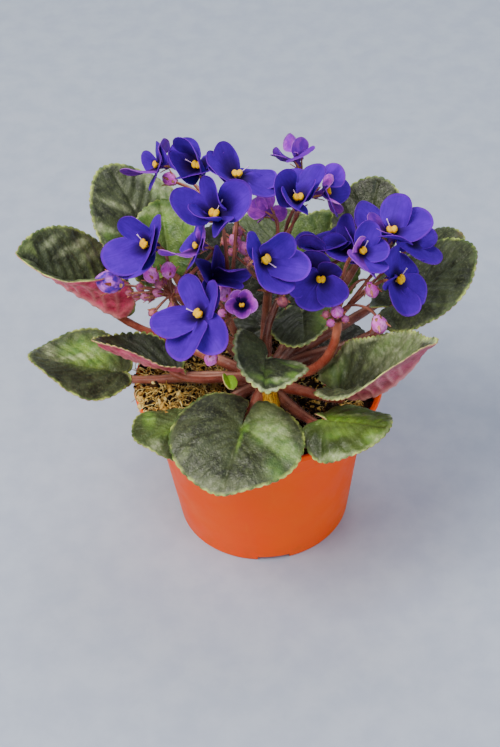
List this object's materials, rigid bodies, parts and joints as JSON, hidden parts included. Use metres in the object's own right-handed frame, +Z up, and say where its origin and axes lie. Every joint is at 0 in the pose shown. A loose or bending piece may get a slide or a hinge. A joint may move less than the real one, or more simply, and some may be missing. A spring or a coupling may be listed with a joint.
{
  "type": "potted african violet",
  "caption": "Flowering african violet in a small round plastic nursery pot: a low rosette of hairy leaves with clusters of violet blooms above coarse peat soil",
  "frame": {"origin": "the middle of the pot's base, on the ground", "axes": "+Z up, -Y towards the viewer of the picture, +X to the viewer's right"},
  "size_m": [0.2156, 0.1807, 0.2066],
  "materials": {
    "pot_plastic": "smooth moulded orange plastic, slightly satin",
    "soil": "coarse peat with brown and ochre fibres",
    "petiole": "fleshy reddish brown stem with pale hairs",
    "leaf": "dark olive quilted blade, hairy, pale green toothed edge, red underside",
    "flower_stalk": "fleshy orange-red stalk with pale hairs, pink buds",
    "petal": "soft violet-blue petal with a paler lilac edge",
    "petal_pale": "soft lilac petal",
    "anther": "mealy bright yellow"
  },
  "bodies": {
    "root": {"pot": "pot_plastic", "soil": "soil", "crown": "petiole", "leaf_a": "leaf", "leaf_b": "leaf", "leaf_c": "leaf", "leaf_d": "leaf", "leaf_e": "leaf", "leaf_f": "leaf", "leaf_g": "leaf", "leaf_h": "leaf", "leaf_i": "leaf", "leaf_j": "leaf", "leaf_k": "leaf", "leaf_l": "leaf", "leaf_m": "leaf", "leaf_o": "leaf", "leaf_q": "leaf", "leaf_r": "leaf", "spray_left": "flower_stalk", "spray_mid_left": "flower_stalk", "spray_middle": "flower_stalk", "spray_mid_right": "flower_stalk", "spray_right": "flower_stalk", "bloom_01": "petal", "bloom_02": "petal", "bloom_03": "petal", "bloom_04": "petal", "bloom_05": "petal", "bloom_06": "petal", "bloom_07": "petal", "bloom_08": "petal", "bloom_09": "petal", "bloom_10": "petal", "bloom_11": "petal", "bloom_12": "petal", "bloom_13": "petal", "bloom_14": "petal", "bloom_15": "petal_pale", "bloom_16": "petal_pale", "bloom_17": "petal_pale", "bloom_18": "petal", "bloom_19": "petal", "bloom_20": "petal", "bloom_21": "petal", "anthers_01": "anther", "anthers_02": "anther", "anthers_03": "anther", "anthers_04": "anther", "anthers_05": "anther", "anthers_06": "anther", "anthers_07": "anther", "anthers_08": "anther", "anthers_09": "anther", "anthers_10": "anther", "anthers_11": "anther", "anthers_12": "anther", "anthers_13": "anther", "anthers_14": "anther", "anthers_15": "anther"}
  },
  "joints": []
}
